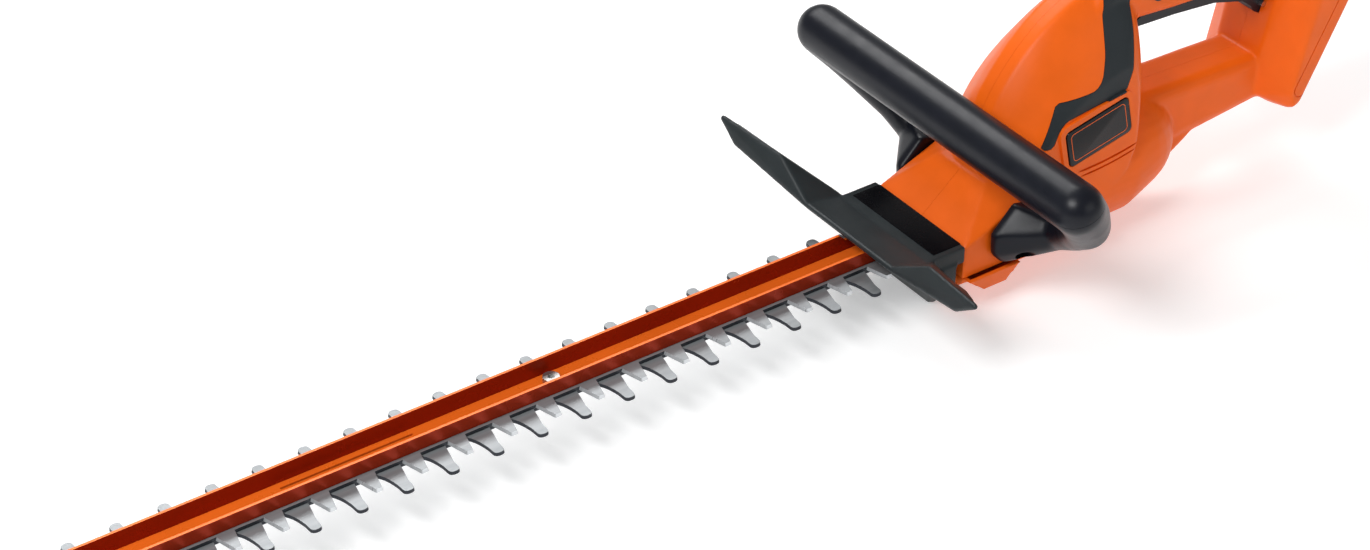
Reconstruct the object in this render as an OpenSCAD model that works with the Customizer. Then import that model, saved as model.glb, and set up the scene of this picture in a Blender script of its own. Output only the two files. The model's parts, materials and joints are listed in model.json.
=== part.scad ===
// Cordless hedge trimmer with a double reciprocating blade, a wrap-around front handle and a D-shaped rear
// handle. X runs from the blade's tip (negative) to the battery mount (positive), Y across, Z up. The origin is
// on the surface the trimmer rests on, under the crankshaft's axis, in the plane of symmetry.

/* [Blades] */
// Distance from one long tooth to the next
tooth_pitch = 27; // [26:0.5:28]
// Number of long teeth on each side
tooth_count = 20; // [8:1:20]
// How far each blade moves to either side of mid-stroke
blade_throw = 6.5; // [4:0.25:6.5]
// Thickness of each blade
blade_thickness = 2; // [1.6:0.1:2]
// Distance from the centre line to the tips of the long teeth
long_reach = 31.5; // [29:0.5:33]
// Distance from the centre line to the tips of the short teeth
short_reach = 24; // [21:0.5:26]
// Height of the plane between the two blades
blade_z = 32; // [32:0.1:32.2]

/* [Guide bar] */
// Outer width of the channel
channel_width = 17.6; // [16:0.2:18]
// Height of the channel from its web's underside to its rims
channel_height = 8.3; // [7:0.1:8.4]
// Extra height of the channel's right flange, ahead of the guard
flange_extra = 4; // [1:0.5:6]
// Thickness of the channel's metal
channel_wall = 1.6; // [1.4:0.1:2]

/* [Drive] */
// Number of teeth on the drive gear
gear_teeth = 60; // [60:2:62]
// Number of teeth on the motor's pinion
pinion_teeth = 10; // [8:2:10]
// Radius of the two eccentric cams
cam_radius = 11; // [10.5:0.1:11.2]
// Radius of the motor's can
motor_radius = 22; // [20:0.5:22.5]

/* [Handles] */
// Radius of the front handle's tube
bail_radius = 14.6; // [13:0.2:15]
// Distance from the centre line to the front handle's outer corners
bail_reach = 111; // [108:1:116]
// Height of the front handle's tube
bail_z = 104.5; // [100:0.5:106]
// Half-width of the rear handle's grip
grip_half = 18; // [17:0.5:19]

/* [Guard] */
// Distance from the centre line to the guard's wing tips
guard_reach = 112; // [100:1:116]

/* [Hidden] */
$fn = 48;

// Running clearance between sliding flat faces
slide_gap = 0.3;
// Clearance between separate pieces of one assembly
fit_gap = 0.1;
// Radial clearance of a turning shaft in its seat
turn_gap = 0.03;
// Small overlap that makes a cut pass clean through a face
cut = 1;
// Gap between the two housing halves at the seam
seam_gap = 0.05;

// Blade layout: tooth 0 is the long tooth nearest the guard
first_tooth_x = -94.6;
blade_spine = 10.5;
long_base_half = 7.4;
long_tip_half = 3.3;
short_base_half = 6.2;
short_tip_half = 2.1;
tip_tooth_x = first_tooth_x - (tooth_count - 1) * tooth_pitch;
blade_tip_x = tip_tooth_x - 20;
lower_z = blade_z - blade_thickness;
upper_z = blade_z + slide_gap;
web_z = upper_z + blade_thickness + slide_gap;

// The eccentric cams turn inside windows in the blades' rear ends, long enough for every pairing of crank angle
// and blade position
window_half_x = cam_radius + 2 * blade_throw + 0.4;
window_half_y = cam_radius + blade_throw + 0.4;
yoke_rim = 5;

// Screws through the guide bar, on which the blades slide
blade_screw_count = 2;
blade_screw_first_x = -286;
blade_screw_step = 305;
blade_screw_radius = 2.5;
spacer_radius = 4;

// Gear train: module 1 teeth, so a pitch radius is half the number of teeth
gear_z = 36;
gear_width = 5;
motor_x = (gear_teeth + pinion_teeth) / 2;
shaft_radius = 4;
bearing_radius = 11;
bearing_width = 7;
case_top = lower_z - slide_gap;
case_low = 9;
plate_z = 42;
plate_thick = 3;
can_z = plate_z + plate_thick + fit_gap;
can_height = 47;
cap_height = 6;
fan_z = can_z + can_height + cap_height + 2;

// Housing
nose_half = 38.5;
body_half = 36.5;
block_half = 37;
wall = 2.6;
side_gap = 0.15;

// Housing screws: [x, z, half-width of the boss]
housing_screw_places = [
    [76, 22, 28], [112, 58, 15], [160, 60, 15], [92, 134, 15], [180, 154, 15], [222, 128, 34], [209, 70, 33.5]
];

// Belly cover: tray under the gear case, whose flat bottom the trimmer rests on
belly_top = 24;
belly_screw_places = [[-26, 14], [-26, -14], [50, 14], [50, -14]];

// Front handle: its brackets are screwed to the nose
bail_x = -27;
bail_screw_places = [[-11, 36], [6, 47]];
bracket_y = 38.8;
bracket_thick = 5;
bail_split_tilt = -20;

// Trigger and lock-off button
trigger_pivot = [196, 104];
trigger_half = 8;
lock_place = [106, 147];
lock_radius = 5.5;
switch_place = [146, 139];

// ---------------------------------------------------------------- shared shapes

module mirror_both() {
    children();
    mirror([0, 1, 0]) children();
}

// Extrudes an outline drawn in X and Z to both sides of the centre plane
module side_slab(points, half) {
    rotate([90, 0, 0])
        linear_extrude(2 * half, center = true)
            polygon(points);
}

module along_x(length, radius) {
    rotate([0, 90, 0]) cylinder(h = length, r = radius);
}

// A cylinder along +Y from y_start to y_end at [x, z]
module along_y(x, z, y_start, y_end, radius) {
    translate([x, y_start, z])
        rotate([-90, 0, 0])
            cylinder(h = y_end - y_start, r = radius);
}

module half_space(side) {
    translate([-700, side > 0 ? seam_gap : -400 - seam_gap, -100])
        cube([1100, 400, 400]);
}

module pan_screw(head_radius, head_height, shank_radius, shank_length) {
    difference() {
        union() {
            cylinder(h = head_height, r = head_radius);
            translate([0, 0, -shank_length]) cylinder(h = shank_length, r = shank_radius);
        }
        translate([0, 0, head_height / 2]) cylinder(h = head_height, r = head_radius * 0.45, $fn = 6);
    }
}

// ---------------------------------------------------------------- blades and guide bar

// One long tooth, pointing along +Y from the blade's spine: straight behind, hollow in front
function long_tooth(x) = [
    [x + long_base_half, blade_spine - cut],
    [x + long_tip_half + 0.8, blade_spine + 9],
    [x + long_tip_half, long_reach - 2.5],
    [x + long_tip_half - 1.4, long_reach],
    [x - long_tip_half + 1.4, long_reach],
    [x - long_tip_half, long_reach - 2.5],
    [x - long_tip_half - 0.8, blade_spine + 10.5],
    [x - long_base_half + 1, blade_spine + 3],
    [x - long_base_half, blade_spine - cut]
];

// The same outline on the blade's other side, still counter-clockwise
function other_side(points) = [
    for (i = [len(points) - 1 : -1 : 0]) [points[i][0], -points[i][1]]
];

function short_tooth(x) = [
    [x + short_base_half, blade_spine - cut],
    [x + short_tip_half, short_reach],
    [x - short_tip_half, short_reach],
    [x - short_base_half, blade_spine - cut]
];

module blade_outline() {
    polygon([
        [blade_tip_x, -blade_spine + 4], [blade_tip_x + 8, -blade_spine], [-window_half_x, -blade_spine],
        [-window_half_x, blade_spine], [blade_tip_x + 8, blade_spine], [blade_tip_x, blade_spine - 4]
    ]);
    yoke_x = window_half_x + yoke_rim;
    yoke_y = window_half_y + yoke_rim;
    polygon([
        [-yoke_x, -yoke_y + 12], [-yoke_x + 8, -yoke_y], [yoke_x - 8, -yoke_y], [yoke_x, -yoke_y + 8],
        [yoke_x, yoke_y - 8], [yoke_x - 8, yoke_y], [-yoke_x + 8, yoke_y], [-yoke_x, yoke_y - 12]
    ]);
}

// Slots that let a blade slide along the fixed spacers
module blade_slots() {
    for (i = [0 : blade_screw_count - 1]) {
        slot_half = blade_throw + 0.3;
        slot_x = blade_screw_first_x - i * blade_screw_step;
        translate([slot_x - slot_half, 0]) circle(r = spacer_radius + 0.15);
        translate([slot_x + slot_half, 0]) circle(r = spacer_radius + 0.15);
        translate([slot_x - slot_half, -spacer_radius - 0.15])
            square([2 * slot_half, 2 * (spacer_radius + 0.15)]);
    }
}

module cam_window() {
    translate([-window_half_x, -window_half_y])
        square([2 * window_half_x, 2 * window_half_y]);
}

module lower_blade() {
    color("silver")
        translate([0, 0, lower_z])
            linear_extrude(blade_thickness)
                difference() {
                    union() {
                        blade_outline();
                        for (i = [0 : tooth_count - 1]) {
                            outline = long_tooth(first_tooth_x - i * tooth_pitch);
                            polygon(outline);
                            polygon(other_side(outline));
                        }
                    }
                    blade_slots();
                    cam_window();
                }
}

module upper_blade() {
    color("silver")
        translate([0, 0, upper_z])
            linear_extrude(blade_thickness)
                difference() {
                    union() {
                        blade_outline();
                        for (i = [0 : tooth_count - 1]) {
                            outline = short_tooth(first_tooth_x - (i - 0.5) * tooth_pitch);
                            polygon(outline);
                            polygon(other_side(outline));
                        }
                    }
                    blade_slots();
                    cam_window();
                }
}

module guide_bar() {
    bar_rear = -44;
    flange_rear = -88;
    bar_length = bar_rear - blade_tip_x;
    color("orangered")
        difference() {
            union() {
                translate([blade_tip_x, -channel_width / 2, web_z])
                    cube([bar_length, channel_width, channel_height]);
                // The right flange stands higher, ahead of the guard
                translate([0, channel_width / 2, 0])
                    rotate([90, 0, 0])
                        linear_extrude(channel_wall)
                            polygon([
                                [blade_tip_x, web_z + cut],
                                [flange_rear, web_z + cut],
                                [flange_rear, web_z + channel_height],
                                [flange_rear - flange_extra, web_z + channel_height + flange_extra],
                                [blade_tip_x + 3, web_z + channel_height + flange_extra],
                                [blade_tip_x, web_z + channel_height + flange_extra - 3]
                            ]);
                // Flat tongue that is clamped inside the gear case's mouth
                translate([bar_rear - cut, -channel_width / 2, web_z])
                    cube([cut + 9, channel_width, channel_wall]);
            }
            translate([blade_tip_x - cut, -channel_width / 2 + channel_wall, web_z + channel_wall])
                cube([bar_length + 2 * cut, channel_width - 2 * channel_wall, channel_height]);
            for (i = [0 : blade_screw_count - 1])
                translate([blade_screw_first_x - i * blade_screw_step, 0, web_z - cut])
                    cylinder(h = channel_wall + 2 * cut, r = blade_screw_radius + fit_gap);
            // Lightening slot pressed in the web, towards the tip
            translate([-447, 2, web_z - cut])
                cube([78, 1.4, channel_wall + 2 * cut]);
        }
}

module each_blade_screw() {
    for (i = [0 : blade_screw_count - 1])
        translate([blade_screw_first_x - i * blade_screw_step, 0, 0])
            children();
}

module blade_screws() {
    head_z = web_z + channel_wall + fit_gap;
    color("gainsboro")
        each_blade_screw()
            translate([0, 0, head_z])
                pan_screw(4.6, 2.8, blade_screw_radius, head_z - lower_z + 6);
}

module blade_spacers() {
    low = lower_z - slide_gap;
    color("dimgray")
        each_blade_screw()
            difference() {
                translate([0, 0, low]) cylinder(h = web_z - low - 0.02, r = spacer_radius);
                translate([0, 0, low - cut]) cylinder(h = web_z - low + 2 * cut, r = blade_screw_radius + fit_gap);
            }
}

module blade_nuts() {
    top = lower_z - slide_gap - 0.02;
    color("gray")
        each_blade_screw()
            difference() {
                union() {
                    translate([0, 0, top - 1]) cylinder(h = 1, r = 7);
                    translate([0, 0, top - 5]) cylinder(h = 4, r = 4.6, $fn = 6);
                }
                translate([0, 0, top - 6]) cylinder(h = 7, r = blade_screw_radius + turn_gap);
            }
}

// ---------------------------------------------------------------- gear train and motor

function gear_points(teeth, backlash) = [
    for (i = [0 : teeth - 1])
        for (corner = [[-0.5, -1.25], [-0.23, 0.95], [0.23, 0.95], [0.5, -1.25]])
            let (
                shrink = corner[1] > 0 ? backlash : backlash * 0.4,
                half = abs(corner[0]) * 180 / teeth - shrink * 57.3 / (teeth / 2),
                angle = i * 360 / teeth + (corner[0] < 0 ? -half : half),
                radius = teeth / 2 + corner[1]
            )
            [radius * cos(angle), radius * sin(angle)]
];

module crankshaft() {
    cam_high = upper_z + blade_thickness + 0.05;
    color("slategray") {
        translate([0, 0, case_low + 0.5])
            cylinder(h = lower_z - case_low - 0.5, r = shaft_radius - turn_gap);
        translate([0, -blade_throw, lower_z - 0.01])
            cylinder(h = blade_z + slide_gap / 2 - lower_z + 0.01, r = cam_radius);
        translate([0, blade_throw, blade_z + slide_gap / 2 - 0.01])
            cylinder(h = cam_high - blade_z - slide_gap / 2 + 0.01, r = cam_radius);
        translate([0, 0, cam_high - 0.01])
            cylinder(h = gear_z - cam_high - fit_gap, r = 8);
        translate([0, 0, gear_z - 0.3])
            cylinder(h = gear_width + 0.3, r = 5);
        translate([0, 0, gear_z + gear_width - 0.01])
            cylinder(h = plate_z + plate_thick - gear_z - gear_width, r = shaft_radius - turn_gap);
    }
}

module drive_gear() {
    color("darkgray")
        translate([0, 0, gear_z])
            difference() {
                linear_extrude(gear_width)
                    rotate(180 / gear_teeth)
                        polygon(gear_points(gear_teeth, 0.12));
                translate([0, 0, -cut]) cylinder(h = gear_width + 2 * cut, r = 5.02);
                for (i = [0 : 5])
                    rotate(i * 60)
                        translate([18, 0, -cut])
                            cylinder(h = gear_width + 2 * cut, r = 5);
            }
}

module pinion_gear() {
    color("darkgray")
        translate([motor_x, 0, gear_z - 0.4])
            difference() {
                linear_extrude(gear_width + 0.8)
                    rotate(180)
                        polygon(gear_points(pinion_teeth, 0.12));
                translate([0, 0, -cut]) cylinder(h = gear_width + 4, r = 2.02);
            }
}

module crank_bearing(z) {
    translate([0, 0, z])
        difference() {
            cylinder(h = bearing_width, r = bearing_radius - 0.02);
            translate([0, 0, -cut]) cylinder(h = bearing_width + 2 * cut, r = shaft_radius);
            for (face = [-1, bearing_width - 0.6])
                translate([0, 0, face])
                    difference() {
                        cylinder(h = 1.6, r = 9);
                        cylinder(h = 1.6, r = 6);
                    }
        }
}

lower_bearing_z = case_low + 1.5;
upper_bearing_z = case_top - bearing_width - 1;

module crank_bearings() {
    color("lightgray") {
        crank_bearing(lower_bearing_z);
        crank_bearing(upper_bearing_z);
    }
}

post_places = [[-22, 30], [58, 28]];
case_front = -38.5;
bridge_depth = 5.5;
guard_screw_place = [30, 38.3];
case_half = 33.5;
bridge_top = 40.4;

module gear_case() {
    bridge_low = web_z + channel_wall + fit_gap;
    color("darkgray")
        difference() {
            union() {
                // Plate under the blades
                translate([case_front, -case_half, case_top - 6]) cube([60.8 - case_front, 2 * case_half, 6]);
                // Long boss for the crankshaft's bearings
                translate([0, 0, case_low]) cylinder(h = case_top - case_low - 1, r = 15);
                // Ribs
                for (y = [-24, 22])
                    translate([-34, y, case_low + 7]) cube([86, 2, 9]);
                // Mouth over the blades, which holds the guide bar down
                for (y = [-case_half, 27])
                    translate([case_front, y, case_top - 1])
                        cube([bridge_depth, case_half - 27, bridge_top - case_top + 1]);
                translate([case_front, -30, bridge_low])
                    cube([bridge_depth, 60, bridge_top - bridge_low]);
            }
            translate([0, 0, case_low - cut]) cylinder(h = 40, r = shaft_radius + 2);
            translate([0, 0, case_low - cut])
                cylinder(h = lower_bearing_z + bearing_width - case_low + cut, r = bearing_radius);
            translate([0, 0, upper_bearing_z]) cylinder(h = 20, r = bearing_radius);
            for (place = post_places)
                mirror_both()
                    translate([place[0], place[1], 0])
                        cylinder(h = 60, r = 1.6);
            for (place = belly_screw_places)
                translate([place[0], place[1], 0]) cylinder(h = case_top - 1, r = 1.6);
            for (side = [-1, 1])
                translate([case_front - cut, side * guard_screw_place[0], guard_screw_place[1]])
                    along_x(20, 1.6);
        }
}

module gear_case_posts() {
    color("gainsboro")
        for (place = post_places)
            mirror_both()
                translate([place[0], place[1], case_top])
                    difference() {
                        cylinder(h = plate_z - case_top, r = 3.4);
                        translate([0, 0, -cut]) cylinder(h = plate_z, r = 1.7);
                    }
}

module motor_plate() {
    color("silver")
        difference() {
            translate([-27, -33, plate_z]) cube([90, 66, plate_thick]);
            translate([0, 0, plate_z - cut]) cylinder(h = plate_thick + 2 * cut, r = shaft_radius);
            translate([motor_x, 0, plate_z - cut]) cylinder(h = plate_thick + 2 * cut, r = 6.5);
            for (place = post_places)
                mirror_both()
                    translate([place[0], place[1], plate_z - cut])
                        cylinder(h = plate_thick + 2 * cut, r = 1.7);
            // The plate's front corners are cut back under the sloping nose
            for (y = [-34, 28])
                translate([-28, y, plate_z - cut]) cube([2, 6, plate_thick + 2 * cut]);
        }
}

module plate_screws() {
    color("gray")
        for (place = post_places)
            mirror_both()
                translate([place[0], place[1], plate_z + plate_thick + 0.02])
                    pan_screw(3.2, 1.8, 1.5, plate_z + plate_thick - case_top + 4);
}

module motor_can() {
    color("dimgray")
        translate([motor_x, 0, can_z])
            difference() {
                cylinder(h = can_height, r = motor_radius);
                translate([0, 0, 2]) cylinder(h = can_height, r = motor_radius - 1.6);
                translate([0, 0, -cut]) cylinder(h = 5, r = 2.1);
                for (i = [0 : 3])
                    rotate(45 + i * 90)
                        translate([14, 0, -cut])
                            cylinder(h = 5, r = 2.5);
            }
}

module motor_magnets() {
    color("black")
        for (side = [0, 180])
            translate([motor_x, 0, can_z + 6])
                rotate(side)
                    intersection() {
                        difference() {
                            cylinder(h = 36, r = motor_radius - 1.7);
                            translate([0, 0, -cut]) cylinder(h = 40, r = motor_radius - 5.2);
                        }
                        translate([0, -30, 0])
                            linear_extrude(36)
                                polygon([[0, 30], [40, 2], [40, 58]]);
                    }
}

module motor_end_cap() {
    color("black")
        translate([motor_x, 0, can_z + can_height + 0.05])
            difference() {
                union() {
                    cylinder(h = cap_height, r = motor_radius);
                    for (side = [0, 180])
                        rotate(side)
                            translate([8, -4, cap_height - cut])
                                cube([9, 8, 2]);
                }
                translate([0, 0, -cut]) cylinder(h = cap_height + 4, r = 2.1);
                translate([0, 0, -cut]) cylinder(h = 4, r = 7.5);
            }
}

module motor_shaft() {
    color("silver")
        translate([motor_x, 0, gear_z - 1])
            cylinder(h = fan_z + 8 - gear_z, r = 2);
}

module armature() {
    radius = motor_radius - 6;
    color("peru")
        translate([motor_x, 0, can_z + 7])
            difference() {
                union() {
                    cylinder(h = 30, r = radius);
                    translate([0, 0, 30 - cut]) cylinder(h = 9, r = 6);
                }
                translate([0, 0, -cut]) cylinder(h = 50, r = 2.02);
                for (i = [0 : 6])
                    rotate(i * 360 / 7)
                        translate([radius - 5, -1, -cut])
                            cube([8, 2, 30 + cut - 0.5]);
            }
}

module cooling_fan() {
    color("dimgray")
        translate([motor_x, 0, fan_z])
            difference() {
                union() {
                    cylinder(h = 1.6, r = 18);
                    cylinder(h = 7, r = 5);
                    for (i = [0 : 8])
                        rotate(i * 40)
                            translate([4.5, -0.7, 0])
                                cube([13, 1.4, 7]);
                }
                translate([0, 0, -cut]) cylinder(h = 20, r = 2.02);
            }
}

// ---------------------------------------------------------------- housing

nose_side = [[-41.5, 14], [-41.5, 43.4], [-16, 50.6], [0, 60], [30, 62], [30, 14]];
nose_top = [[-41.5, 20], [-41.5, 43.6], [-12, 65], [30, 72], [30, 20]];
tower_side = [[6, 40], [6, 62], [12, 78], [22, 93], [36, 106], [56, 116], [76, 120], [82, 100], [82, 40]];
tower_mid = [[-2, 50], [0, 72], [8, 92], [16, 102], [26, 113], [43, 126], [64, 134], [84, 140],
    [90, 118], [90, 50]];
tower_top = [[-10, 60], [-10, 74], [-1, 98], [10, 116], [26, 134], [44, 147], [66, 156], [96, 160], [98, 60]];

module nose_outer() {
    hull() {
        side_slab(nose_side, nose_half);
        side_slab(nose_top, 20);
    }
}

module tower_outer() {
    hull() {
        side_slab(tower_side, body_half);
        side_slab(tower_mid, 26);
        side_slab(tower_top, 9);
    }
}

module tub_outer() {
    hull() {
        translate([30, 0, 41]) along_x(56, body_half);
        translate([97, 0, 46]) sphere(r = 34.5, $fn = 32);
    }
}

module grip_outer() {
    hull() {
        side_slab([[60, 130], [60, 152], [84, 164], [150, 168], [225, 164], [238, 150],
            [225, 122]], grip_half - 7);
        side_slab([[62, 136], [62, 146], [88, 158], [150, 162], [222, 158], [228, 148],
            [218, 128]], grip_half);
    }
}

// Straight sill on which the belly cover's rim closes, below the rounded sides
module sill_outer() {
    side_slab([[0, belly_top - cut], [58, belly_top - cut], [63.8, 29], [56, 38], [0, 38]], body_half);
}

module lower_bar_outer() {
    hull() {
        side_slab([[92, 22], [92, 78], [190, 74], [200, 62], [196, 44], [164, 45], [150, 38], [130, 27]],
            grip_half - 7);
        side_slab([[92, 30], [92, 72], [190, 69], [196, 62], [192, 50], [158, 51], [144, 42],
            [126, 33]], grip_half);
    }
}

module block_outer() {
    hull() {
        side_slab([[190, 76], [186, 50], [202, 38.5], [209, 42], [267, 150], [262, 160],
            [250, 166], [214, 166]],
            block_half - 20);
        side_slab([[200, 66], [197, 54], [203, 42], [209, 42], [267, 150], [262, 160], [250, 166],
            [222, 166]],
            block_half - 5);
        side_slab([[207, 70], [200, 54], [203, 45], [208, 48], [261, 150], [256, 158], [246, 161],
            [230, 161]],
            block_half);
    }
}

badge_place = [51.5, 84.8];
badge_tilt = -11.6;
badge_face = 38;

module badge_box(length, height, y_start, y_end, corner) {
    translate([badge_place[0], 0, badge_place[1]])
        rotate([0, badge_tilt, 0])
            translate([0, y_end, 0])
                rotate([90, 0, 0])
                    linear_extrude(y_end - y_start) {
                        square([length - 2 * corner, height], center = true);
                        square([length, height - 2 * corner], center = true);
                        for (x = [-1, 1])
                            for (z = [-1, 1])
                                translate([x * (length / 2 - corner), z * (height / 2 - corner)])
                                    circle(r = corner);
                    }
}

inlay_outline = [
    [66, 175], [65, 156], [62, 126], [56, 115], [50, 112], [26, 108], [13, 85], [20, 85], [24, 94], [29, 99],
    [71, 104], [78, 125], [86, 149], [88, 175]
];

module inlay_band(grow) {
    rotate([90, 0, 0])
        linear_extrude(200, center = true)
            offset(delta = grow) polygon(inlay_outline);
}

// Hollows for the drive, the motor, the switch gear and the battery contacts
module cavities() {
    // Drive bay, open underneath where the belly cover closes it
    side_slab([[-39, belly_top - cut], [-39, 40.5], [-27, 46.8], [-16, 48.5], [64, 50.5],
        [64, belly_top - cut]],
        body_half - wall);
    translate([-60, -60, -cut]) cube([124, 120, belly_top + cut]);
    // Mouth in the nose for the blades and the guide bar
    translate([-60, -12.5, 28]) cube([30, 25, 15]);
    // Motor tower
    tower_inner();
    motor_bay();
    // Tub behind the drive bay
    translate([60, 0, 42]) along_x(36, body_half - wall - 4);
    // Grip
    side_slab([[60, 136], [60, 148], [90, 158], [150, 163], [222, 159], [232, 150],
        [216, 128]], grip_half - 5);
    // Trigger's slot under the grip
    translate([98.5, -trigger_half - 0.5, 96.5]) cube([107, 2 * trigger_half + 1, 42]);
    // Lower bar
    translate([88, -grip_half + 5, 51]) cube([116, 2 * grip_half - 10, 20]);
    // Battery block
    side_slab([[207, 80], [202, 58], [204, 52], [209, 64], [252, 146], [249, 156],
        [222, 158]], block_half - 5);
}

module motor_bay() {
    translate([motor_x, 0, 40]) cylinder(h = fan_z - 41.5, r = motor_radius + 2.5);
    translate([motor_x, 0, fan_z - 2]) cylinder(h = 11, r = 20);
}

module tower_inner() {
    hull() {
        side_slab([[9, 42], [9, 60], [15, 76], [25, 90], [38, 102], [57, 112], [75, 116], [79, 99], [79, 42]],
            body_half - wall);
        side_slab([[0, 60], [3, 74], [11, 92], [19, 103], [29, 113], [45, 125], [64, 132],
            [84, 136], [88, 60]], 24);
    }
}

// Rails of the battery mount, along the slanted rear face
rail_lean = 28.7;

module rail_frame() {
    translate([209, 0, 43]) rotate([0, rail_lean, 0]) children();
}

module battery_slot() {
    rail_frame() {
        translate([-9, -24, 8]) cube([40, 48, 140]);
        mirror_both() translate([-9, 20, 8]) cube([4, 9, 140]);
        // Window for the terminal block
        translate([-13, -19.2, 29.8]) cube([5, 38.4, 30.4]);
    }
}

module side_holes() {
    for (place = bail_screw_places)
        along_y(place[0], place[1], -60, 60, 1.6);
    for (side = [-1, 1])
        translate([-50, side * guard_screw_place[0], guard_screw_place[1]])
            along_x(14, 2);
    along_y(lock_place[0], lock_place[1], -30, 30, lock_radius + 0.3);
    along_y(trigger_pivot[0], trigger_pivot[1], -12, 12, 2);
    for (place = housing_screw_places) {
        along_y(place[0], place[1], 12, 60, 4);
        along_y(place[0], place[1], 0, 13, 1.9);
        along_y(place[0], place[1], -11, cut, 1.6);
    }
}

module housing_shell() {
    difference() {
        union() {
            nose_outer();
            tower_outer();
            tub_outer();
            sill_outer();
            grip_outer();
            lower_bar_outer();
            block_outer();
            mirror_both() badge_box(53, 33, 30, badge_face, 5);
        }
        cavities();
    }
}

module housing_half(side) {
    difference() {
        intersection() {
            union() {
                housing_shell();
                for (place = housing_screw_places)
                    along_y(place[0], place[1], -place[2], place[2], 5.5);
                // Bosses for the front handle's screws
                for (place = bail_screw_places)
                    mirror_both() along_y(place[0], place[1], 34.5, bracket_y - 0.3, 4.5);
            }
            half_space(side);
        }
        inlay_space(side, side_gap);
        battery_slot();
        side_holes();
        mirror_both() badge_box(45.4, 24.9, badge_face - 1, badge_face + 9, 3.2);
    }
}

module housing_left() {
    color("darkorange") housing_half(-1);
}

module housing_right() {
    color("darkorange") housing_half(1);
}

// The inlays lie in the band on each side, but leave the ridge along the top of the tower to the housing
module inlay_space(side, grow) {
    intersection() {
        inlay_band(grow);
        translate([0, (12 - grow) * side, 0]) half_space(side);
    }
}

module inlay(side) {
    color("dimgray")
        intersection() {
            difference() {
                union() {
                    tower_outer();
                    grip_outer();
                }
                cavities();
                side_holes();
            }
            inlay_space(side, 0);
        }
}

module inlay_left() {
    inlay(-1);
}

module inlay_right() {
    inlay(1);
}

module badge_left() {
    color("black") mirror([0, 1, 0]) badge_box(45, 24.5, badge_face - 0.95, badge_face + 0.6, 3);
}

module badge_right() {
    color("black") badge_box(45, 24.5, badge_face - 0.95, badge_face + 0.6, 3);
}

module belly_tray(inset) {
    rim = belly_top - side_gap - 3;
    hull() {
        translate([-39 + inset, -15 + inset, inset]) cube([91 - 2 * inset, 30 - 2 * inset, 1]);
        translate([-41 + inset, -28 + inset, 12]) cube([99 - 2 * inset, 56 - 2 * inset, 1]);
        translate([-41.5 + inset, -nose_half + inset, rim]) cube([105.3 - 2 * inset, 2 * (nose_half - inset), 3]);
    }
}

// Open scoops beside the nose, where air is drawn in
module belly_scoop(inset) {
    rim = belly_top - side_gap;
    hull() {
        translate([-40 + inset, 30, rim - 1]) cube([36 - 2 * inset, 13 - inset, 1]);
        translate([-28 + inset, 28, 13 + inset]) cube([16 - 2 * inset, 13 - inset, 1]);
    }
}

module belly_cover() {
    color("darkorange")
        difference() {
            union() {
                difference() {
                    union() {
                        belly_tray(0);
                        mirror_both() belly_scoop(0);
                    }
                    translate([0, 0, fit_gap]) belly_tray(2.4);
                    mirror_both() translate([0, 0, fit_gap]) belly_scoop(1.8);
                }
                for (place = belly_screw_places)
                    translate([place[0], place[1], 0]) cylinder(h = case_top - 6 - 0.1, r = 5);
            }
            for (place = belly_screw_places)
                translate([place[0], place[1], -cut]) {
                    cylinder(h = 40, r = 1.9);
                    cylinder(h = 5 + cut, r = 3.8);
                }
        }
}

module belly_screws() {
    color("gray")
        for (place = belly_screw_places)
            translate([place[0], place[1], 4.95])
                rotate([180, 0, 0])
                    pan_screw(3.4, 2.2, 1.55, 22);
}

module housing_screws() {
    color("gray")
        for (place = housing_screw_places)
            translate([place[0], 12.05, place[1]])
                rotate([-90, 0, 0])
                    pan_screw(3.4, 2.4, 1.55, 22);
}

module trigger() {
    color([0.15, 0.15, 0.17])
        difference() {
            union() {
                side_slab([[102, 120], [130, 118.5], [160, 115.5], [182, 109], [192, 101],
                    [200, 108], [184, 119],
                    [160, 125], [130, 127.5], [108, 127.5], [101, 124]], trigger_half);
                along_y(trigger_pivot[0], trigger_pivot[1], -trigger_half, trigger_half, 6.5);
            }
            along_y(trigger_pivot[0], trigger_pivot[1], -20, 20, 2 + turn_gap);
        }
}

module trigger_pin() {
    color("silver")
        along_y(trigger_pivot[0], trigger_pivot[1], -11.5, 11.5, 2 - 0.02);
}

// Compression springs are swept as closed rings of points along a helix
function helix_point(x, y, z, turns, radius, height, t) =
    [x + radius * cos(360 * turns * t), y + radius * sin(360 * turns * t), z + height * t];

module coil_spring(x, y, z, turns, radius, height, wire) {
    steps = turns * 14;
    sides = 6;
    points = [
        for (i = [0 : steps])
            let (
                t = i / steps,
                c = helix_point(x, y, z + wire, turns, radius, height - 2 * wire, t),
                turn = 360 * turns * t
            )
            for (k = [0 : sides - 1])
                let (a = k * 360 / sides, out = wire * cos(a))
                [c[0] + out * cos(turn), c[1] + out * sin(turn), c[2] + wire * sin(a)]
    ];
    walls = [
        for (i = [0 : steps - 1])
            for (k = [0 : sides - 1])
                let (a = i * sides + k, b = i * sides + (k + 1) % sides)
                each [[a, b, b + sides], [a, b + sides, a + sides]]
    ];
    first_cap = [for (k = [sides - 1 : -1 : 0]) k];
    last_cap = [for (k = [0 : sides - 1]) steps * sides + k];
    polyhedron(points, concat(walls, [first_cap, last_cap]));
}

module trigger_spring() {
    color("silver") coil_spring(135, 0, 127.5, 5, 3, 11.3, 0.5);
}

module lock_button() {
    color([0.15, 0.15, 0.17]) {
        along_y(lock_place[0], lock_place[1], -20.5, 17.5, lock_radius);
        along_y(lock_place[0], lock_place[1], -12.4, -11, lock_radius + 1.5);
    }
}

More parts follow.
